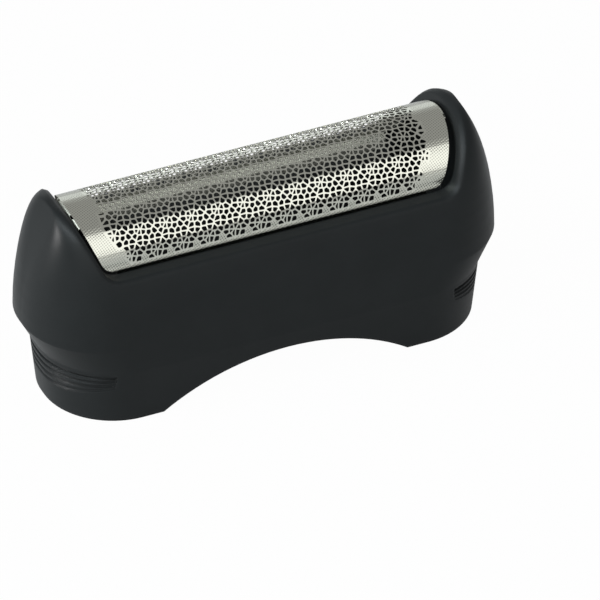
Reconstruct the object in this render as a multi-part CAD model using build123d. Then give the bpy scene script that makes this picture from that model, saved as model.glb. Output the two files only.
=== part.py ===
"""Foil head of a small electric shaver: moulded frame, perforated foil and its two clamp bars.

X runs along the foil, Y from front to back, Z up. The origin is on the standing plane, under the
middle of the head. All sizes are in millimetres.
"""
import os
from math import asin, atan, cos, degrees, hypot, radians, sin, sqrt, tan
from build123d import *

# Overall size
body_half_length = 30.4
body_half_depth = 10.2
wide_z = 11.2
skirt_z = 7.4
foil_axis_z = 20.25

# Foil: a half cylinder whose long edges step in and are clamped inside the frame
foil_setback = 3.7
foil_radius = body_half_depth - foil_setback
foil_thickness = 0.12
foil_crown_z = foil_axis_z + foil_radius
foil_edge_drop = 0.1
foil_edge_z = foil_axis_z - foil_edge_drop
foil_step = 0.5
foil_step_height = 0.8
leg_y = foil_radius - foil_step

# Frame, outer form: plan sections stacked along Z
ear_rise = 0.6
ear_top_z = foil_crown_z + ear_rise
ear_lean = 3.8
ear_half_length = body_half_length - ear_lean
side_power = 0.37
corner_share_low = 0.95
corner_share_high = 0.45
corner_power = 2.7
shoulder_share = 0.45
dome_last_angle = 88.0

# Frame, skirt below the overhang that the fingers pull on
overhang = 2.0
skirt_taper = 0.78
skirt_half_depth = body_half_depth - skirt_taper
skirt_top_half_length = body_half_length - overhang
skirt_half_length = skirt_top_half_length - skirt_taper

# Frame, arch under the long sides
arch_radius = 27.0
arch_rise = 5.2

# Frame, grip grooves round each end of the skirt
groove_count = 4
groove_low_z = 3.5
groove_top_margin = 0.9
groove_high_z = skirt_z - groove_top_margin
groove_pitch = (groove_high_z - groove_low_z) / (groove_count - 1)
groove_width = 0.45
groove_depth = 0.35
groove_tilt_low = 16.0
groove_tilt_high = 2.0
groove_reach = 6.4
groove_fade = 0.13

# Frame, window between the ears
lip_drop = 0.2
lip_z = foil_axis_z - lip_drop
window_inset = 7.98
window_half_length = body_half_length - window_inset
window_lean = 0.41
window_corner = 2.5
rim_bevel = 0.45

# Frame, hollow: a chamber below and an arched slot under the foil and the ears
wall = 1.5
foil_gap = 0.5
ear_roof = 1.2
ear_end_wall = 0.6
rail_height = 4.1
rail_drop = 0.5
rail_top_z = foil_edge_z - foil_step_height - rail_drop
chamber_top_z = rail_top_z - rail_height
slot_radius = foil_radius + foil_gap
slot_axis_z = ear_top_z - ear_roof - slot_radius
slot_half_length = ear_half_length - ear_end_wall

# Foil, outline and open cells: a honeycomb wrapped over the arch
foil_end_gap = 0.75
foil_lean = 0.395
foil_corner = 2.0
foil_half_length = window_half_length + window_lean * (foil_crown_z - lip_z) - foil_end_gap
foil_low_half_length = foil_half_length - foil_lean * (foil_crown_z - foil_edge_z)
leg_inset = 1.7
leg_half_length = foil_low_half_length - leg_inset
plain_band = 3.0
cell_rows = 4
cell_angle = radians(38.0)
cell_pitch = foil_radius * cell_angle
cell_web = 0.6

# Rails, hooks and clamp bars inside the frame
rail_margin = 1.2
rail_root = 0.4
bar_margin = 0.2
bar_thickness = 1.0
bar_inset = 0.45
bar_bevel = 0.6
bar_outer_y = leg_y - foil_thickness
bar_inner_y = bar_outer_y - bar_thickness
bar_low_z = chamber_top_z + bar_inset
bar_high_z = rail_top_z - bar_inset
hook_count = 3
hook_width = 3.0
hook_thickness = 0.6
hook_height = 1.0
hook_margin = 3.4
hook_pitch = 2 * (leg_half_length - hook_margin) / (hook_count - 1)


def rise(z):
    """Height of z above the widest section, as a share of the way up to the ears' tops."""
    return (z - wide_z) / (ear_top_z - wide_z)


def section(z):
    """Plan section at height z, from the widest one up: a rounded rectangle."""
    length = ear_half_length + ear_lean * (1.0 - rise(z) ** 2)
    depth = body_half_depth * (1.0 - rise(z) ** 2) ** side_power
    share = corner_share_low + (corner_share_high - corner_share_low) * rise(z) ** corner_power
    return Pos(0, 0, z) * RectangleRounded(2 * length, 2 * depth, share * depth)


def skirt_plan(z, trim=0.0, swell=0.0):
    """Plan of the drafted skirt at height z, shorter by trim and deeper by swell on each side."""
    draft = skirt_taper * z / skirt_z
    depth = skirt_half_depth + draft + swell
    return RectangleRounded(2 * (skirt_half_length + draft - trim), 2 * depth, corner_share_low * depth)


def spread(low, high, steps):
    """Evenly spaced values from low to high."""
    return [low + (high - low) * i / steps for i in range(steps + 1)]


def outer_body():
    """Solid inside the outer surface: skirt, overhang, walls and the dome that the ears are cut from."""
    shoulder_z = wide_z + shoulder_share * (ear_top_z - wide_z)
    angles = spread(degrees(asin(shoulder_share)), dome_last_angle, 6)
    skirt = extrude(skirt_plan(0.0), skirt_z, taper=-degrees(atan(skirt_taper / skirt_z)))
    flare = loft([skirt.faces().sort_by(Axis.Z)[-1], section(wide_z)], ruled=True)
    walls = loft([section(z) for z in spread(wide_z, shoulder_z, 4)], ruled=True)
    dome = loft([section(wide_z + (ear_top_z - wide_z) * sin(radians(a))) for a in angles])
    return skirt + flare + walls + dome


def window():
    """Prism that opens the frame between the ears, with rounded lower corners."""
    top_z = ear_top_z + wall
    reach = window_half_length + window_lean * (top_z - lip_z)
    low = [(-window_half_length, lip_z), (window_half_length, lip_z)]
    outline = Polygon(*low, (reach, top_z), (-reach, top_z), align=None)
    outline = fillet(outline.vertices().group_by(Axis.Y)[0], window_corner)
    return extrude(Plane.XZ * outline, 2 * body_half_depth, both=True)


def hollow():
    """Space inside the frame, open at the bottom."""
    length = skirt_half_length - wall
    depth = skirt_half_depth - wall
    floor = Pos(0, 0, -wall) * RectangleRounded(2 * length, 2 * depth, corner_share_low * depth)
    chamber = extrude(floor, chamber_top_z + wall)
    low = Rectangle(2 * slot_radius, slot_axis_z - chamber_top_z + wall, align=(Align.CENTER, Align.MAX))
    profile = Pos(0, slot_axis_z) * (low + Circle(slot_radius))
    return chamber + extrude(Plane.YZ * profile, slot_half_length, both=True)


def rim_edges(body):
    """Outer edges round the window: those that only one of the window's faces has, clear of the slot."""
    faces = [f for f in body.faces() if lip_z - rim_bevel < f.bounding_box().min.Z < ear_top_z - wall]
    edges = [edge for face in faces for edge in face.edges()]
    border = [edge for edge in edges if sum(edge.is_same(other) for other in edges) == 1]
    middles = [(edge, edge @ 0.5) for edge in border]
    return [e for e, p in middles if hypot(p.Y, p.Z - slot_axis_z) > slot_radius + foil_gap / 2]


def grip_grooves():
    """Thin tilted slabs at the left end, trimmed so that each groove fades out along the long sides."""
    core = extrude(skirt_plan((groove_low_z + groove_high_z) / 2, groove_depth, groove_fade), skirt_z)
    sizes = (groove_reach, 3 * body_half_depth, groove_width)
    slab = Box(*sizes, align=(Align.MIN, Align.CENTER, Align.CENTER))
    grooves = []
    for index in range(groove_count):
        tilt = groove_tilt_low + (groove_tilt_high - groove_tilt_low) * index / (groove_count - 1)
        place = Pos(-skirt_top_half_length, 0, groove_low_z + groove_pitch * index)
        grooves.append(place * Rot(0, -tilt, 0) * slab - core)
    return grooves


def rail(side):
    """Ledge along one long wall, with hooks that hold the clamp bar and the foil's edge against it."""
    root_y = slot_radius + rail_root
    ledge = Box(2 * (leg_half_length + rail_margin), root_y - leg_y, rail_height)
    ledge = Pos(0, side * (leg_y + root_y) / 2, rail_top_z - rail_height / 2) * ledge
    tip_y = bar_inner_y - hook_thickness
    outline = [
        (root_y, bar_low_z - hook_thickness),
        (tip_y, bar_low_z - hook_thickness),
        (tip_y, bar_low_z + hook_height),
        (bar_inner_y, bar_low_z + hook_height),
        (bar_inner_y, bar_low_z),
        (root_y, bar_low_z),
    ]
    profile = Plane.YZ * Polygon(*[(side * y, z) for y, z in outline], align=None)
    hook = extrude(profile, hook_width / 2, both=True)
    places = [hook_pitch * (i - (hook_count - 1) / 2) for i in range(hook_count)]
    return ledge + [Pos(x, 0, 0) * hook for x in places]


def build_frame():
    """One moulded housing: hollow body, ears, lip, arch, grip grooves, rails and hooks."""
    body = outer_body() - hollow() - window()
    body = chamfer(rim_edges(body), rim_bevel)
    arch = Rot(90, 0, 0) * Cylinder(arch_radius, 4 * body_half_depth)
    body = body - Pos(0, 0, arch_rise - arch_radius) * arch
    left = grip_grooves()
    body = body - left - [mirror(groove, Plane.YZ) for groove in left]
    return body + rail(-1) + rail(1)


def foil_side(inset, lift):
    """Points up the front of the foil's section, moved in by inset."""
    return [
        (-leg_y + inset, bar_low_z),
        (-leg_y + inset, foil_edge_z - foil_step_height + lift),
        (-foil_radius + inset, foil_edge_z + lift),
        (-foil_radius + inset, foil_axis_z),
    ]


def foil_section():
    """Closed outline of the foil in Y and Z: legs, step and arch, one sheet thick."""
    lift = foil_thickness * tan(atan(foil_step / foil_step_height) / 2)
    outer = foil_side(0.0, 0.0)
    inner = foil_side(foil_thickness, lift)
    edges = []
    for side in (outer, inner):
        far = [(-y, z) for y, z in side]
        crown = (0, foil_axis_z - side[-1][0])
        edges += [Polyline(*side), ThreePointArc(side[-1], crown, far[-1]), Polyline(*far)]
    for sign in (-1, 1):
        edges.append(Line((sign * outer[0][0], outer[0][1]), (sign * inner[0][0], inner[0][1])))
    return make_face(edges)


def foil_outline():
    """Front outline that the sheet is trimmed to, as a prism along Y."""
    right = [
        (leg_half_length, chamber_top_z),
        (leg_half_length, foil_edge_z),
        (foil_low_half_length, foil_edge_z),
        (foil_half_length + foil_lean * wall, foil_crown_z + wall),
    ]
    outline = Polygon(*right, *[(-x, z) for x, z in reversed(right)], align=None)
    shoulders = [v for v in outline.vertices() if abs(abs(v.X) - foil_low_half_length) < foil_thickness]
    return extrude(Plane.XZ * fillet(shoulders, foil_corner), 2 * foil_radius, both=True)


def foil_cells():
    """Radial cutters in a honeycomb wrapped over the arch."""
    cell = RegularPolygon((cell_pitch - cell_web) / 2, 6, major_radius=False)
    column_pitch = cell_pitch * sqrt(3) / 2
    side_columns = int((foil_half_length - plain_band - cell_pitch / 2) / column_pitch)
    cutters = []
    for column in range(-side_columns, side_columns + 1):
        rows = cell_rows - (column + side_columns) % 2
        for row in range(rows):
            angle = (row - (rows - 1) / 2) * cell_angle
            radial = Vector(0, sin(angle), cos(angle))
            start = Vector(column * column_pitch, 0, foil_axis_z) + radial * (foil_radius / 2)
            cutters.append(extrude(Plane(start, x_dir=(1, 0, 0), z_dir=radial) * cell, foil_radius))
    return cutters


def build_foil():
    """One sheet: arch, stepped long edges and open cells."""
    sheet = extrude(Plane.YZ * foil_section(), foil_half_length + wall, both=True)
    return (sheet & foil_outline()) - foil_cells()


def build_bar(side):
    """Clamp bar that presses one long edge of the foil against its rail."""
    bar = Box(2 * (leg_half_length + bar_margin), bar_thickness, bar_high_z - bar_low_z)
    bar = chamfer(bar.edges().filter_by(Axis.Y), bar_bevel)
    return Pos(0, side * (bar_outer_y + bar_inner_y) / 2, (bar_low_z + bar_high_z) / 2) * bar


os.makedirs("parts", exist_ok=True)
export_step(build_frame(), "parts/frame.step")
export_step(build_foil(), "parts/foil.step")
export_step(build_bar(-1), "parts/front_clamp_bar.step")
export_step(build_bar(1), "parts/rear_clamp_bar.step")
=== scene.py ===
# %% [markdown]
# # A shaver's foil head
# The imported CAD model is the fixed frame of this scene: a moulded plastic housing, a metal foil and two
# clamp bars inside. Everything is in metres, X runs along the foil, Y to the back and Z up. The housing's
# CAD shape is kept and only gets its finish. The foil is rebuilt, because its real perforation is far too
# fine for a solid model.

# %% Load the frame
import math
import bpy
import numpy as np
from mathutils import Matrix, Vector


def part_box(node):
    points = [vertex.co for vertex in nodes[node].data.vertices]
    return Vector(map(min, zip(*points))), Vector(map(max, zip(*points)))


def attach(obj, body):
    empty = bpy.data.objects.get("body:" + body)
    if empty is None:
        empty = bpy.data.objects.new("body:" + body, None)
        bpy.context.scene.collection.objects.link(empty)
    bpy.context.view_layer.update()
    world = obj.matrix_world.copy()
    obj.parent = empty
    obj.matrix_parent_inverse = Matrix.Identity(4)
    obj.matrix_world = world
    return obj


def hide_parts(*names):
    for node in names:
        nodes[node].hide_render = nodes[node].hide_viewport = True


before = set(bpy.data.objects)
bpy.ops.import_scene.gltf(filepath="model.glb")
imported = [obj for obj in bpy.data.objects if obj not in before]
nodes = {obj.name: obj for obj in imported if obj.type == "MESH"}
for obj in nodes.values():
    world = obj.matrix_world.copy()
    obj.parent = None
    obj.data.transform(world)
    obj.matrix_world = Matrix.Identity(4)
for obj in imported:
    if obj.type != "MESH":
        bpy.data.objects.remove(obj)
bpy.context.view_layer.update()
MM = 0.001
print("nodes:", ", ".join(sorted(nodes)))

# %% [markdown]
# ## Camera
# The head is seen from its left front, from well above, and so far away that lines that are parallel on the
# object stay nearly parallel in the picture. An orthographic camera would make them fully so. A very long
# lens is close enough, and it can walk round the object for other views. The angles and the scale set the
# lens and the aim.

# %% Place the camera
AZIMUTH, ELEVATION = math.radians(-24.0), math.radians(36.0)
DISTANCE = 2.0
PIXELS_PER_MM = 8.33
PICTURE_SIZE = 600
ORIGIN_PIXEL = (254.3, 337.0)

level = Vector((math.sin(AZIMUTH), -math.cos(AZIMUTH), 0.0))
back = level * math.cos(ELEVATION) + Vector((0.0, 0.0, math.sin(ELEVATION)))
right = Vector((math.cos(AZIMUTH), math.sin(AZIMUTH), 0.0))
up = back.cross(right)
shift_right = (PICTURE_SIZE / 2 - ORIGIN_PIXEL[0]) / PIXELS_PER_MM
shift_up = (ORIGIN_PIXEL[1] - PICTURE_SIZE / 2) / PIXELS_PER_MM
aim = (right * shift_right + up * shift_up) * MM

camera_data = bpy.data.cameras.new("camera")
camera_data.lens = PIXELS_PER_MM / MM * DISTANCE * camera_data.sensor_width / PICTURE_SIZE
camera_data.clip_end = 2 * DISTANCE
camera = bpy.data.objects.new("camera", camera_data)
camera.location = aim + back * DISTANCE
camera.rotation_euler = back.to_track_quat("Z", "Y").to_euler()
bpy.context.collection.objects.link(camera)
scene = bpy.context.scene
scene.camera = camera
scene.view_settings.view_transform = "Standard"
print("lens in mm:", round(camera_data.lens))

# %% [markdown]
# ## Helpers for surfaces and finishes
# A surface goes into a mesh as whole arrays: one array of points, one of normals and a list of faces. A
# finish is a small node tree, and most of its nodes are made by the same two lines, so a helper adds a node
# and fills its sockets.


# %% Mesh and node helpers
def mesh_piece(name, points, faces, normals=None):
    """Object whose mesh has these points (n, 3), in metres, and these faces; normals are per point."""
    mesh = bpy.data.meshes.new(name)
    mesh.from_pydata(points, [], faces)
    mesh.polygons.foreach_set("use_smooth", np.ones(len(mesh.polygons), dtype=bool))
    if normals is not None:
        mesh.normals_split_custom_set_from_vertices(normals)
    mesh.update()
    piece = bpy.data.objects.new(name, mesh)
    bpy.context.collection.objects.link(piece)
    return piece


def add_node(tree, kind, **values):
    """New node of that kind, with its named input sockets set to values."""
    node = tree.nodes.new(kind)
    for key, value in values.items():
        node.inputs[key.replace("_", " ")].default_value = value
    return node


def new_finish(name):
    """Material with only a Principled BSDF and an output; returns the material, its tree and the shader."""
    material = bpy.data.materials.new(name)
    material.use_nodes = True
    tree = material.node_tree
    return material, tree, tree.nodes["Principled BSDF"]


# %% [markdown]
# ## The foil's section
# The foil is one strip of thin nickel. Across the head it runs up from a clamped leg, steps out to a flared
# edge, goes over the arch and down again on the other side. That line could be a curve drawn by hand. Here
# it is a formula, which keeps the radius exact: its only parameter is the distance from the crown, measured
# along the sheet. The outer radius, the crown's height and the length come from the CAD foil. The sheet has
# some play between the ears and lies a little to the left.

# %% Foil sizes
foil_low, foil_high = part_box("foil")
RADIUS = foil_high.y
CROWN_Z = foil_high.z
AXIS_Z = CROWN_Z - RADIUS
HALF_LENGTH = foil_high.x
SHEET = 0.07 * MM
EDGE_DROP = 0.02 * MM
STEP_IN, STEP_DOWN = 0.5 * MM, 0.8 * MM
FLARE_OUT, FLARE_UP = 0.17 * MM, 0.8 * MM
MARGIN = 0.42 * MM
PLAY = -0.25 * MM
EDGE_Z = AXIS_Z - EDGE_DROP
LEG_DOWN = EDGE_Z - STEP_DOWN - foil_low.z
ARCH = RADIUS * math.pi / 2
EDGE_AT = ARCH + EDGE_DROP
FLARE_AT = EDGE_AT - FLARE_UP
LEG_AT = EDGE_AT + math.hypot(STEP_IN + FLARE_OUT, STEP_DOWN)
END_AT = LEG_AT + LEG_DOWN
BEND, FLARE_BEND = 0.1 * MM, 0.35 * MM
print("foil radius and half length in mm:", round(RADIUS / MM, 2), round(HALF_LENGTH / MM, 2))


# %% Point and normal on the section
def section_normal(along):
    """Outward normal (y, z): it leans by the arch's angle, tips up on the flare and down on the step."""
    turn = np.clip(np.abs(along) / RADIUS, 0.0, math.pi / 2)
    tip = -math.atan2(FLARE_OUT, FLARE_UP)
    dip = math.atan2(STEP_IN + FLARE_OUT, STEP_DOWN)
    flare = [FLARE_AT, FLARE_AT + FLARE_BEND]
    stops = flare + [EDGE_AT - BEND, EDGE_AT + BEND, LEG_AT - BEND, LEG_AT + BEND]
    lean = turn + np.interp(np.abs(along), stops, [0.0, tip, tip, dip, dip, 0.0])
    return np.sign(along) * np.sin(lean), np.cos(lean)


def section_point(along, depth=0.0):
    """Point (y, z): an arc over the crown, then straight runs; depth leads into the sheet."""
    turn = np.clip(np.abs(along) / RADIUS, 0.0, math.pi / 2)
    inward = np.interp(np.abs(along), [FLARE_AT, EDGE_AT, LEG_AT], [0.0, -FLARE_OUT, STEP_IN])
    drops = np.cumsum([0.0, EDGE_DROP, STEP_DOWN, LEG_DOWN])
    down = np.interp(np.abs(along), [ARCH, EDGE_AT, LEG_AT, END_AT], drops)
    normal_y, normal_z = section_normal(along)
    y = np.sign(along) * (RADIUS * np.sin(turn) - inward) - depth * normal_y
    z = AXIS_Z + RADIUS * np.cos(turn) - down - depth * normal_z
    return y, z


foot_y, foot_z = section_point(END_AT)
print("foot of a leg, y and z in mm:", round(foot_y / MM, 2), round(foot_z / MM, 2))

# %% [markdown]
# ## The foil's outline
# Seen from the front, the sheet is shorter at its long edges than at the crown: both ends lean in, and the
# lower corners are round. Each end has a plain band. Between the bands lies the perforated field. Its ends
# lean in more and more towards the long edges, in three straight runs. Both outlines could be cut from a
# longer sheet. As functions of the place on the section they need no cut, and bands and field share a line.

# %% Ends of the sheet and of the field
END_LEAN = 0.395
CORNER = 2.0 * MM
LEG_INSET = 1.7 * MM
BAND = 3.0 * MM
FIELD_AT = EDGE_AT - MARGIN
FIELD_HALF = HALF_LENGTH - BAND
KNEE_AT = np.array([4.8 * MM, 6.6 * MM, FIELD_AT])
KNEE_IN = np.array([0.0, 0.7, 2.7]) * MM


def lean_end(along):
    """Half length of the sheet without its round corners: it falls in proportion to the height lost."""
    return HALF_LENGTH - END_LEAN * (CROWN_Z - section_point(along)[1])


LOW_HALF = HALF_LENGTH - END_LEAN * (CROWN_Z - EDGE_Z)
LEG_HALF = LOW_HALF - LEG_INSET
LEAN_ANGLE = math.atan(END_LEAN)
CORNER_X = LOW_HALF - CORNER * math.tan((math.pi / 2 - LEAN_ANGLE) / 2)
CORNER_Z = EDGE_Z + CORNER


def sheet_end(along):
    """Half length of the sheet: a leaning line, a circle round each lower corner, then narrower legs."""
    z = section_point(along)[1]
    circle = CORNER_X + np.sqrt(np.maximum(CORNER**2 - (CORNER_Z - z) ** 2, 0.0))
    rounded = np.where(z < CORNER_Z - CORNER * math.sin(LEAN_ANGLE), circle, lean_end(along))
    return np.where(np.abs(along) > EDGE_AT + BEND, LEG_HALF, rounded)


def field_end(along):
    """Half length of the perforated field: level at the crown, then two runs that lean in."""
    return FIELD_HALF - np.interp(np.abs(along), KNEE_AT, KNEE_IN)


print("field in mm:", round(2 * FIELD_HALF / MM, 1), "by", round(2 * FIELD_AT / MM, 1))

# %% [markdown]
# ## The perforation
# The foil is grown on a mould, so its holes can have any shape. These are rounded wedges, kites and small
# triangles that crowd round common points, with narrow webs between them. A Voronoi pattern gives just
# that: points are scattered in a small tile, the tile is repeated, and each point owns what lies nearest to
# it. Inside each such cell the hole keeps half a web away from every neighbour.

# %% Seeds of the holes
TILE = 3.36 * MM
TILE_ROW = 2.91 * MM
TILES_EACH_WAY, ROWS_EACH_WAY = 9, 5
INNER_RING, OUTER_RING, TRIO = 0.43 * MM, 1.1 * MM, 0.33 * MM
SEED_SHIFT = 0.08 * MM
RANDOM = np.random.default_rng(seed=5)


def ring(count, radius, turn):
    """Points evenly round a circle, the first one at the angle turn, in degrees."""
    angle = math.radians(turn) + np.arange(count) * 2 * math.pi / count
    return radius * np.stack([np.cos(angle), np.sin(angle)], axis=1)


corner_up = np.array([0.0, TILE / math.sqrt(3)])
corner_side = np.array([TILE / 2, TILE / math.sqrt(12)])
tile = np.concatenate([
    ring(count=6, radius=INNER_RING, turn=10),
    ring(count=10, radius=OUTER_RING, turn=5),
    corner_up + ring(count=3, radius=TRIO, turn=80),
    corner_side + ring(count=3, radius=TRIO, turn=20),
])
tile = tile + RANDOM.uniform(-SEED_SHIFT, SEED_SHIFT, tile.shape)
columns = np.arange(-TILES_EACH_WAY, TILES_EACH_WAY + 1)
column, row = np.meshgrid(columns, np.arange(-ROWS_EACH_WAY, ROWS_EACH_WAY + 1))
knots = np.stack([(column + 0.5 * (row % 2)) * TILE, row * TILE_ROW], axis=-1).reshape(-1, 1, 2)
seeds = (knots + tile).reshape(-1, 2)
print("seeds in a tile and in all:", len(tile), len(seeds))

# %% Border of the field
WEB = 0.155 * MM
knees = np.stack([FIELD_HALF - KNEE_IN, KNEE_AT], axis=1)
run = np.diff(knees, axis=0)
slant = np.stack([run[:, 1], -run[:, 0]], axis=1) / np.linalg.norm(run, axis=1, keepdims=True)
slant_at = (slant * knees[1:]).sum(axis=1)
quarters = np.array([(1, 1), (-1, 1), (1, -1), (-1, -1)])
sides = np.array([(1.0, 0.0), (-1.0, 0.0), (0.0, 1.0), (0.0, -1.0)])
LONG_SIDES = (2, 3)
border_way = np.concatenate([sides, (quarters[:, None] * slant).reshape(-1, 2)])
side_at = [FIELD_HALF, FIELD_HALF, FIELD_AT, FIELD_AT]
border_at = np.concatenate([side_at, np.tile(slant_at, len(quarters))])
seeds = seeds[(border_at - seeds @ border_way.T > WEB).all(axis=1)]
border_room = border_at - seeds @ border_way.T
print("cells:", len(seeds), "border lines:", len(border_at))

# %% Walls of each cell
NEAR = 14
gap = seeds[None] - seeds[:, None]
distance = np.hypot(gap[..., 0], gap[..., 1])
np.fill_diagonal(distance, np.inf)
nearest = np.argsort(distance, axis=1)[:, :NEAR]
toward = np.take_along_axis(gap, nearest[..., None], axis=1)
reach = np.take_along_axis(distance, nearest, axis=1)
wall_way = np.concatenate([
    toward / reach[..., None],
    np.broadcast_to(border_way, (len(seeds), *border_way.shape)),
], axis=1)
wall_at = np.concatenate([reach / 2, border_room], axis=1)
print("walls tried per cell:", wall_at.shape[1])

# %% Corners of each cell
PARALLEL, TOUCH = 1e-6, 1e-9
first, second = np.triu_indices(wall_at.shape[1], k=1)
a, b = wall_way[:, first], wall_way[:, second]
cross = a[..., 0] * b[..., 1] - a[..., 1] * b[..., 0]
cross = np.where(np.abs(cross) < PARALLEL, np.inf, cross)
meet_x = (wall_at[:, first] * b[..., 1] - wall_at[:, second] * a[..., 1]) / cross
meet_y = (wall_at[:, second] * a[..., 0] - wall_at[:, first] * b[..., 0]) / cross
meet = np.stack([meet_x, meet_y], axis=-1)
beyond = np.einsum("cpk,cwk->cpw", meet, wall_way) - wall_at[:, None]
is_corner = (beyond.max(axis=2) < TOUCH) & np.isfinite(cross)
corner_count = is_corner.sum(axis=1)
print("cells by number of corners:", np.bincount(corner_count).tolist())

# %% [markdown]
# ## From flat patches to the bent sheet
# Every part of the sheet is a small grid of flat points, given by the place along the head and the distance
# from the crown. One function bends such points on to the section. The cells of one corner count share one
# array: their outline has each corner and each side's middle, which the neighbours use too, so the cells
# meet without gaps. The hole follows the same directions and takes a soft minimum of the distances to all
# walls, which rounds its corners. Along the long edges a few cells stay closed, as small solid triangles,
# and towards both ends of the field the holes get smaller. A Boolean modifier could cut the holes instead,
# but it is slow for so many and gives no say over the faces.


# %% Patches of the sheet
def grid_faces(count, rows, columns, closed):
    """Quads of a stack of grids whose points are numbered row by row; closed joins the last column."""
    index = np.arange(count * rows * columns).reshape(count, rows, columns)
    if closed:
        index = np.concatenate([index, index[..., :1]], axis=2)
    low, high = index[:, :-1], index[:, 1:]
    return np.stack([low[..., :-1], low[..., 1:], high[..., 1:], high[..., :-1]], axis=-1).reshape(-1, 4)


def outward(flat):
    """Normals of the sheet's outside at flat points: x along the head, y as the distance from the crown."""
    normal_y, normal_z = section_normal(flat[..., 1])
    return np.stack([np.zeros_like(normal_y), normal_y, normal_z], axis=-1)


patches = []


def lay(flat, depth, normals, faces, plain, dull=0.0):
    """Bends flat points on to the section at that depth and keeps them with normals, faces and marks."""
    y, z = section_point(flat[..., 1], depth)
    points = np.stack([flat[..., 0] + PLAY, y, z], axis=-1)
    marks = np.broadcast_to((plain, dull), flat.shape)
    patches.append((points, np.broadcast_to(normals, points.shape), flat, faces, marks))


def lay_both(flat, closed, plain):
    """Lays a stack of grids (count, rows, columns, 2) on the outside and, turned over, on the inside."""
    faces = grid_faces(*flat.shape[:3], closed)
    lay(flat, 0.0, outward(flat), faces, plain)
    lay(flat[:, ::-1], SHEET, -outward(flat[:, ::-1]), faces, plain, 1.0)


# %% Outline and hole of a cell
SOFT = 9.0
LEAST_FACING = 0.02
BORDER_WEB = 0.16 * MM
hole_inset = np.where(np.arange(wall_at.shape[1]) < NEAR, WEB / 2, BORDER_WEB)


def cell_outline(cells, corners):
    """Loop round each of these cells: its corners sorted by angle, with the sides' middles between them."""
    points = meet[cells][is_corner[cells]].reshape(-1, corners, 2)
    order = np.argsort(np.arctan2(points[..., 1], points[..., 0]), axis=1)
    points = np.take_along_axis(points, order[..., None], axis=1)
    middles = (points + np.roll(points, -1, axis=1)) / 2
    return np.stack([points, middles], axis=2).reshape(len(points), 2 * corners, 2)


def cell_hole(cells, direction):
    """Distance from the seed to the hole's edge: a soft minimum of the distances to all inset walls."""
    facing = np.einsum("clk,cwk->clw", direction, wall_way[cells])
    room_left = (wall_at[cells] - hole_inset)[:, None] / np.maximum(facing, LEAST_FACING)
    return (room_left**-SOFT).sum(axis=-1, keepdims=True) ** (-1 / SOFT)


# %% Closed cells and smaller holes
TIP = 0.75 * MM
TIP_WIDTH = 0.3
CLOSED_SHARE = 0.3
NARROWEST = 0.3 * MM
SMALLER_FROM, SMALLEST = 1.1 * MM, 0.45
edge_room = FIELD_AT - np.abs(seeds[:, 1])
tile_share = 0.5 - np.abs(seeds[:, 0] / TILE % 1.0 - 0.5)
end_room = np.delete(border_room, LONG_SIDES, axis=1).min(axis=1)
at_random = (end_room < 2 * NARROWEST) & (RANDOM.random(len(seeds)) < CLOSED_SHARE)
is_tip = edge_room / TIP + tile_share / TIP_WIDTH < 1.0
is_solid = (border_room.min(axis=1) < NARROWEST) | at_random | is_tip
hole_share = np.minimum(SMALLEST + (1.0 - SMALLEST) * end_room / SMALLER_FROM, 1.0)
print("open and closed cells:", int((~is_solid).sum()), int(is_solid.sum()))

# %% Perforated field
through = np.array([0.0, SHEET])[None, :, None]
for corners in np.unique(corner_count):
    cells = np.flatnonzero((corner_count == corners) & is_solid)
    rim = seeds[cells][:, None] + cell_outline(cells, corners)
    faces = np.arange(rim.size // 2).reshape(-1, 2 * corners)
    lay(rim, 0.0, outward(rim), faces, 1.0)
    lay(rim[:, ::-1], SHEET, -outward(rim[:, ::-1]), faces, 1.0, 1.0)

    cells = np.flatnonzero((corner_count == corners) & ~is_solid)
    outline = cell_outline(cells, corners)
    direction = outline / np.linalg.norm(outline, axis=-1, keepdims=True)
    centre = seeds[cells][:, None]
    hole = centre + direction * cell_hole(cells, direction) * hole_share[cells][:, None, None]
    lay_both(np.stack([centre + outline, hole], axis=1), True, 0.0)
    edge = np.stack([hole, hole], axis=1)
    _, normal_y, normal_z = np.moveaxis(outward(edge), -1, 0)
    inward_x, inward_y = np.moveaxis(np.broadcast_to(-direction[:, None], edge.shape), -1, 0)
    wall = np.stack([inward_x, inward_y * normal_z, -inward_y * normal_y], axis=-1)
    lay(edge, through, wall, grid_faces(*edge.shape[:3], True), 0.0)
print("patches so far:", len(patches))

# %% Plain bands, edges and legs
BAND_ROWS, BAND_COLUMNS = 96, 7
along = np.linspace(-FIELD_AT, FIELD_AT, BAND_ROWS)
share = np.linspace(0.0, 1.0, BAND_COLUMNS)
band_x = field_end(along)[:, None] + (sheet_end(along) - field_end(along))[:, None] * share
right_band = np.stack([band_x, np.broadcast_to(along[:, None], band_x.shape)], axis=-1)
left_band = right_band[:, ::-1] * (-1, 1)
lay_both(right_band[None], False, 1.0)
lay_both(left_band[None], False, 1.0)

SKIRT_COLUMNS = 25
edge_bend = [FIELD_AT, FIELD_AT + BEND, EDGE_AT - BEND, EDGE_AT, EDGE_AT + BEND, EDGE_AT + 2 * BEND]
down = np.array(edge_bend + [LEG_AT - BEND, LEG_AT, LEG_AT + BEND, END_AT])
skirt_x = sheet_end(down)[:, None] * np.linspace(-1.0, 1.0, SKIRT_COLUMNS)
back_skirt = np.stack([skirt_x, np.broadcast_to(down[:, None], skirt_x.shape)], axis=-1)
front_skirt = back_skirt[::-1] * (1, -1)
lay_both(back_skirt[None], False, 1.0)
lay_both(front_skirt[None], False, 1.0)
print("patches with bands, edges and legs:", len(patches))

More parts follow.
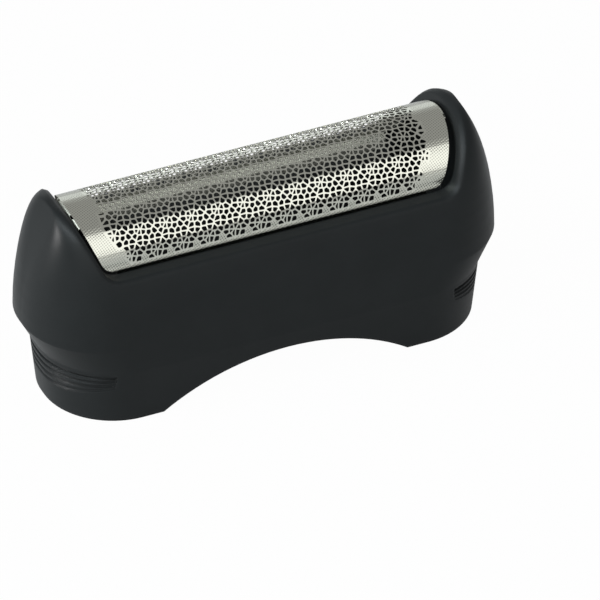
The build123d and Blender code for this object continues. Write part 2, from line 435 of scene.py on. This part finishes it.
# %% Cut edges
outer_rim = np.concatenate([-down[::-1], along[1:-1], down])
for side in (-1, 1):
    foot = np.stack([skirt_x[-1], np.full(SKIRT_COLUMNS, side * END_AT)], axis=-1)[::-side]
    strip = np.stack([foot, foot])[None]
    lay(strip, through, (0.0, 0.0, -1.0), grid_faces(*strip.shape[:3], False), 1.0)
    rim = np.stack([side * sheet_end(outer_rim), outer_rim], axis=-1)[::-side]
    strip = np.stack([rim, rim])[None]
    lay(strip, through, (side, 0.0, 0.0), grid_faces(*strip.shape[:3], False), 1.0)
print("points along the rim of an end:", len(outer_rim))

# %% [markdown]
# ## Turned-in ends
# Round the crown each end of the sheet is rolled down into the head, as a short lip. Two small slits beside
# the bend let it fold without tearing. The lip is a profile along a path: a quarter circle follows the
# sheet's end, and along the slits it starts late, which leaves them open.

# %% End lips
LIP = 0.28 * MM
LIP_DULL = 0.95
LIP_ROWS = 6
LIP_FROM, LIP_TO, LIP_STEP = -4.0 * MM, 2.0 * MM, 0.1 * MM
SLIT_TURN = math.radians(55.0)
SLITS = [(-2.6 * MM, -2.0 * MM), (1.1 * MM, 1.6 * MM)]
lip_at = np.arange(LIP_FROM, LIP_TO, LIP_STEP)
slit_from, slit_to = np.array(SLITS).T[..., None]
first_turn = ((lip_at > slit_from) & (lip_at < slit_to)).any(axis=0) * SLIT_TURN
turn = np.linspace(first_turn, math.pi / 2, LIP_ROWS)
for side in (-1, 1):
    places = np.broadcast_to(-side * lip_at, turn.shape)
    for skin, radius, dull in ((1, LIP, LIP_DULL), (-1, LIP - SHEET, 1.0)):
        roll = np.stack([side * (sheet_end(places) + radius * np.sin(turn)), places], axis=-1)
        lean = outward(roll) * np.cos(turn)[..., None] + np.sin(turn)[..., None] * (side, 0.0, 0.0)
        faces = grid_faces(1, *turn.shape, False)[:, ::skin]
        lay(roll[None], (LIP - radius * np.cos(turn))[None], skin * lean[None], faces, 1.0, dull)
print("patches in all:", len(patches))


# %% Foil piece
def joined(parts, width):
    """All rows of the patches' arrays in one long array."""
    return np.concatenate([part.reshape(-1, width) for part in parts])


points, normals, flat, faces, marks = zip(*patches)
starts = np.cumsum([0] + [part.size // 2 for part in flat])
faces = [stack + start for stack, start in zip(faces, starts)]
face_list = [face for stack in faces for face in stack.tolist()]
foil = mesh_piece("foil_sheet", joined(points, 3), face_list, joined(normals, 3))

face_points = np.concatenate([stack.ravel() for stack in faces])
sheet_map = foil.data.uv_layers.new(name="sheet")
sheet_map.data.foreach_set("uv", (joined(flat, 2)[face_points] / MM).astype(np.float32).ravel())
for name, values in zip(("plain", "dull"), joined(marks, 2).T.astype(np.float32)):
    layer = foil.data.attributes.new(name, "FLOAT", "POINT")
    layer.data.foreach_set("value", np.ascontiguousarray(values))
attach(foil, "root")
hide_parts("foil")
print("foil triangles:", sum(len(stack) * (stack.shape[1] - 2) for stack in faces))

# %% [markdown]
# ## Grain of moulded plastic
# A mould is sparked or sandblasted, and the plastic copies its fine, even grain. Both plastics of the head
# show it, so the grain is a node group: its height goes to a bump, and a slower mottle makes the surface a
# little duller or darker here and there.

# %% Grain group
MOTTLES_PER_METRE = 260.0
grain = bpy.data.node_groups.new("moulded_grain", "ShaderNodeTree")
grain.interface.new_socket("Grains per metre", in_out="INPUT", socket_type="NodeSocketFloat")
grain.interface.new_socket("Height", in_out="OUTPUT", socket_type="NodeSocketFloat")
grain.interface.new_socket("Mottle", in_out="OUTPUT", socket_type="NodeSocketFloat")
entry = grain.nodes.new("NodeGroupInput")
leave = grain.nodes.new("NodeGroupOutput")
place = grain.nodes.new("ShaderNodeTexCoord")
fine = add_node(grain, "ShaderNodeTexNoise", Detail=3.0, Roughness=0.6)
slow = add_node(grain, "ShaderNodeTexNoise", Scale=MOTTLES_PER_METRE, Detail=2.0)
grain.links.new(place.outputs["Object"], fine.inputs["Vector"])
grain.links.new(place.outputs["Object"], slow.inputs["Vector"])
grain.links.new(entry.outputs["Grains per metre"], fine.inputs["Scale"])
grain.links.new(fine.outputs["Fac"], leave.inputs["Height"])
grain.links.new(slow.outputs["Fac"], leave.inputs["Mottle"])
print("group sockets:", [item.name for item in grain.interface.items_tree])


# %% [markdown]
# ## Black moulded plastic
# The housing is one injection moulding in black plastic with a fine matt grain, and the clamp bars are a
# plainer moulding. The finish is a dark base with a moderate gloss. Sharp edges of a moulding are always a
# little round, and a Bevel node softens their shading without more faces.

# %% Plastic finish
GRAINS_PER_METRE = 9000.0
GRAIN_DEPTH = 0.02 * MM
PLASTIC_SHINE = 0.14


def moulded_plastic(name, dark, light, roughness, rounding):
    """Plastic between two close colours and two roughness values, with grain and softened edges."""
    material, tree, shader = new_finish(name)
    shader.inputs["Specular IOR Level"].default_value = PLASTIC_SHINE
    texture = add_node(tree, "ShaderNodeGroup")
    texture.node_tree = grain
    texture.inputs["Grains per metre"].default_value = GRAINS_PER_METRE
    tint = add_node(tree, "ShaderNodeMix")
    tint.data_type = "RGBA"
    tint.inputs["A"].default_value = (*dark, 1.0)
    tint.inputs["B"].default_value = (*light, 1.0)
    dull = add_node(tree, "ShaderNodeMapRange", To_Min=roughness[0], To_Max=roughness[1])
    bump = add_node(tree, "ShaderNodeBump", Strength=0.25, Distance=GRAIN_DEPTH)
    soft = add_node(tree, "ShaderNodeBevel", Radius=rounding)
    tree.links.new(texture.outputs["Mottle"], tint.inputs["Factor"])
    tree.links.new(texture.outputs["Mottle"], dull.inputs["Value"])
    tree.links.new(texture.outputs["Height"], bump.inputs["Height"])
    tree.links.new(soft.outputs["Normal"], bump.inputs["Normal"])
    tree.links.new(tint.outputs["Result"], shader.inputs["Base Color"])
    tree.links.new(dull.outputs["Result"], shader.inputs["Roughness"])
    tree.links.new(bump.outputs["Normal"], shader.inputs["Normal"])
    return material


housing = moulded_plastic(
    "black_housing",
    dark=(0.009, 0.0104, 0.0108),
    light=(0.0117, 0.0133, 0.0138),
    roughness=(0.33, 0.41),
    rounding=0.6 * MM,
)
bars = moulded_plastic(
    "clamp_bar_plastic",
    dark=(0.016, 0.017, 0.018),
    light=(0.02, 0.021, 0.022),
    roughness=(0.5, 0.6),
    rounding=0.2 * MM,
)
for name, finish in (("frame", housing), ("front_clamp_bar", bars), ("rear_clamp_bar", bars)):
    nodes[name].data.materials.clear()
    nodes[name].data.materials.append(finish)
print("plastic finishes:", housing.name, bars.name)

# %% [markdown]
# ## Nickel foil
# The foil is grown from nickel, a warm grey metal, and it is bright enough to mirror the lamps in a sharp
# band. Its plain ends carry a texture of fine dots in slanting rows. The dots are a Voronoi pattern without
# scatter, on the sheet's own flat map, so they follow the bend. Each dot is a shallow pit: a bump gives its
# depth, and a darker tone towards its centre is painted shade. The attribute that marks the plain parts
# keeps them off the webs, and a second one makes the inside and the rolled lips dull.

# %% Dots of the plain parts
DOTS_PER_MM = 3.5
DOT_TURN = math.radians(-24.0)
DOT_CORE, DOT_EDGE = 0.12, 0.42
DOT_DEPTH = 0.03 * MM
# The pit tone is painted shade: the base colour darkens towards each dot's centre, where the pit is.
PIT_SHADE_TONE, NICKEL_TONE = (0.4, 0.405, 0.355, 1.0), (0.66, 0.665, 0.59, 1.0)

nickel, tree, shader = new_finish("bright_nickel")
shader.inputs["Metallic"].default_value = 1.0
sheet_uv = add_node(tree, "ShaderNodeUVMap")
sheet_uv.uv_map = "sheet"
turned = add_node(tree, "ShaderNodeMapping", Rotation=(0.0, 0.0, DOT_TURN))
dots = add_node(tree, "ShaderNodeTexVoronoi", Scale=DOTS_PER_MM, Randomness=0.0)
pit = add_node(tree, "ShaderNodeMapRange", From_Min=DOT_CORE, From_Max=DOT_EDGE)
plain_mark = add_node(tree, "ShaderNodeAttribute")
plain_mark.attribute_name = "plain"
pitted = add_node(tree, "ShaderNodeMix", A=1.0)
# This mix blends the nickel's own tone with the painted shade of the pits.
warm = add_node(tree, "ShaderNodeMix")
warm.data_type = "RGBA"
warm.inputs["A"].default_value = PIT_SHADE_TONE
warm.inputs["B"].default_value = NICKEL_TONE
bump = add_node(tree, "ShaderNodeBump", Strength=0.35, Distance=DOT_DEPTH)
tree.links.new(sheet_uv.outputs["UV"], turned.inputs["Vector"])
tree.links.new(turned.outputs["Vector"], dots.inputs["Vector"])
tree.links.new(dots.outputs["Distance"], pit.inputs["Value"])
tree.links.new(plain_mark.outputs["Fac"], pitted.inputs["Factor"])
tree.links.new(pit.outputs["Result"], pitted.inputs["B"])
tree.links.new(pitted.outputs["Result"], warm.inputs["Factor"])
tree.links.new(pitted.outputs["Result"], bump.inputs["Height"])
tree.links.new(warm.outputs["Result"], shader.inputs["Base Color"])
tree.links.new(bump.outputs["Normal"], shader.inputs["Normal"])
print("distance of the dots in mm:", round(1.0 / DOTS_PER_MM, 2))

# %% Gloss of the foil
CLOUDS_PER_METRE = 900.0
BRIGHTEST, CLOUDED, DULLEST = 0.08, 0.16, 0.55
own_place = add_node(tree, "ShaderNodeTexCoord")
cloud = add_node(tree, "ShaderNodeTexNoise", Scale=CLOUDS_PER_METRE, Detail=3.0)
gloss = add_node(tree, "ShaderNodeMapRange", To_Min=BRIGHTEST, To_Max=CLOUDED)
dull_mark = add_node(tree, "ShaderNodeAttribute")
dull_mark.attribute_name = "dull"
dull = add_node(tree, "ShaderNodeMix", B=DULLEST)
tree.links.new(own_place.outputs["Object"], cloud.inputs["Vector"])
tree.links.new(cloud.outputs["Fac"], gloss.inputs["Value"])
tree.links.new(gloss.outputs["Result"], dull.inputs["A"])
tree.links.new(dull_mark.outputs["Fac"], dull.inputs["Factor"])
tree.links.new(dull.outputs["Result"], shader.inputs["Roughness"])
foil.data.materials.append(nickel)
print("foil finish:", nickel.name, "with", len(tree.nodes), "nodes")

# %% [markdown]
# ## Floor and light
# The head stands on white paper. For the camera the paper's white is nearly all its own, and mirror-like
# surfaces see a share of it, so the lamps can stay at a plain level. From below the paper is clear, which
# lets a camera look into the head. A tall, wide soft box in front has a level top edge: its mirror image
# ends in a sharp line along the foil. A long box high at the left draws the light line on the rim of the
# right ear, a small one low at the left gives the left ear its soft spot, and a dim one stands behind.

# %% Floor
FLOOR_HALF = 1.5
floor = mesh_piece(
    "floor",
    np.array([(-1, -1, 0), (1, -1, 0), (1, 1, 0), (-1, 1, 0)]) * FLOOR_HALF,
    [(0, 1, 2, 3)],
)
print("length of the floor's sides in metres:", 2 * FLOOR_HALF)


# %% Math node helper
def add_math(tree, operation, *terms):
    """Output of a new math node; each term is a socket to link or a plain number."""
    node = add_node(tree, "ShaderNodeMath")
    node.operation = operation
    for socket, term in zip(node.inputs, terms):
        if isinstance(term, bpy.types.NodeSocket):
            tree.links.new(term, socket)
        else:
            socket.default_value = term
    return node.outputs["Value"]


# %% White paper
PAPER_TONE = (0.4, 0.4, 0.4, 1.0)
PAPER_ROUGHNESS = 0.9
MIRROR_SHARE, CAMERA_SHARE = 0.22, 0.98
paper, tree, shader = new_finish("white_paper")
shader.inputs["Base Color"].default_value = PAPER_TONE
shader.inputs["Roughness"].default_value = PAPER_ROUGHNESS
path = add_node(tree, "ShaderNodeLightPath").outputs
mirrored = add_math(tree, "MAXIMUM", path["Is Glossy Ray"], path["Is Transmission Ray"])
in_mirror = add_math(tree, "MULTIPLY", mirrored, MIRROR_SHARE)
to_camera = add_math(tree, "MULTIPLY", path["Is Camera Ray"], CAMERA_SHARE)
own_share = add_math(tree, "MAXIMUM", in_mirror, to_camera)
white = add_node(tree, "ShaderNodeEmission", Color=(1.0, 1.0, 1.0, 1.0), Strength=1.0)
blend = add_node(tree, "ShaderNodeMixShader")
tree.links.new(own_share, blend.inputs["Fac"])
tree.links.new(shader.outputs["BSDF"], blend.inputs[1])
tree.links.new(white.outputs["Emission"], blend.inputs[2])
print("the paper's own white, in mirrors and for the camera:", MIRROR_SHARE, CAMERA_SHARE)

# %% Clear from below
below = add_node(tree, "ShaderNodeNewGeometry")
clear = add_node(tree, "ShaderNodeBsdfTransparent")
one_sided = add_node(tree, "ShaderNodeMixShader")
tree.links.new(below.outputs["Backfacing"], one_sided.inputs["Fac"])
tree.links.new(blend.outputs["Shader"], one_sided.inputs[1])
tree.links.new(clear.outputs["BSDF"], one_sided.inputs[2])
tree.links.new(one_sided.outputs["Shader"], tree.nodes["Material Output"].inputs["Surface"])
floor.data.materials.append(paper)
print("floor finish:", paper.name)


# %% Lamps
def soft_box(name, place, target, size, brightness, tint):
    """Rectangular lamp that faces target; its power is pi times its area times its face's brightness."""
    data = bpy.data.lights.new(name, "AREA")
    data.shape = "RECTANGLE"
    data.size, data.size_y = size
    data.energy = brightness * math.pi * size[0] * size[1]
    data.color = tint
    lamp = bpy.data.objects.new(name, data)
    lamp.location = place
    lamp.rotation_euler = (Vector(place) - Vector(target)).to_track_quat("Z", "Y").to_euler()
    bpy.context.collection.objects.link(lamp)
    print(name, "in watts:", round(data.energy, 2))


BOX_AWAY = 0.6
BOX_LOW, BOX_TOP = 0.05, 0.78
BOX_LEFT, BOX_RIGHT = -0.7, 0.5
LAMP_AIM = (0.0, 0.0, 0.02)
box_x, box_z = (BOX_LEFT + BOX_RIGHT) / 2, (BOX_LOW + BOX_TOP) / 2
soft_box(
    "front_box",
    place=(box_x, -BOX_AWAY, box_z),
    target=(box_x, 0.0, box_z),
    size=(BOX_RIGHT - BOX_LEFT, BOX_TOP - BOX_LOW),
    brightness=1.05,
    tint=(1.0, 1.0, 0.99),
)
soft_box(
    "left_box",
    place=(-0.78, 0.14, 0.14),
    target=LAMP_AIM,
    size=(0.22, 0.18),
    brightness=40.0,
    tint=(1.0, 0.98, 0.98),
)
soft_box(
    "high_box",
    place=(-0.55, -0.22, 0.7),
    target=LAMP_AIM,
    size=(1.0, 0.25),
    brightness=11.0,
    tint=(0.86, 0.96, 1.0),
)
soft_box(
    "back_box",
    place=(0.3, 0.8, 0.22),
    target=LAMP_AIM,
    size=(0.9, 0.35),
    brightness=0.6,
    tint=(0.92, 0.98, 1.0),
)

# %% Sky
SKY_BRIGHTNESS = 0.38
world = bpy.data.worlds.new("sky")
scene.world = world
world.use_nodes = True
sky = world.node_tree.nodes["Background"]
sky.inputs["Color"].default_value = (1.0, 1.0, 1.0, 1.0)
sky.inputs["Strength"].default_value = SKY_BRIGHTNESS
print("world:", world.name)
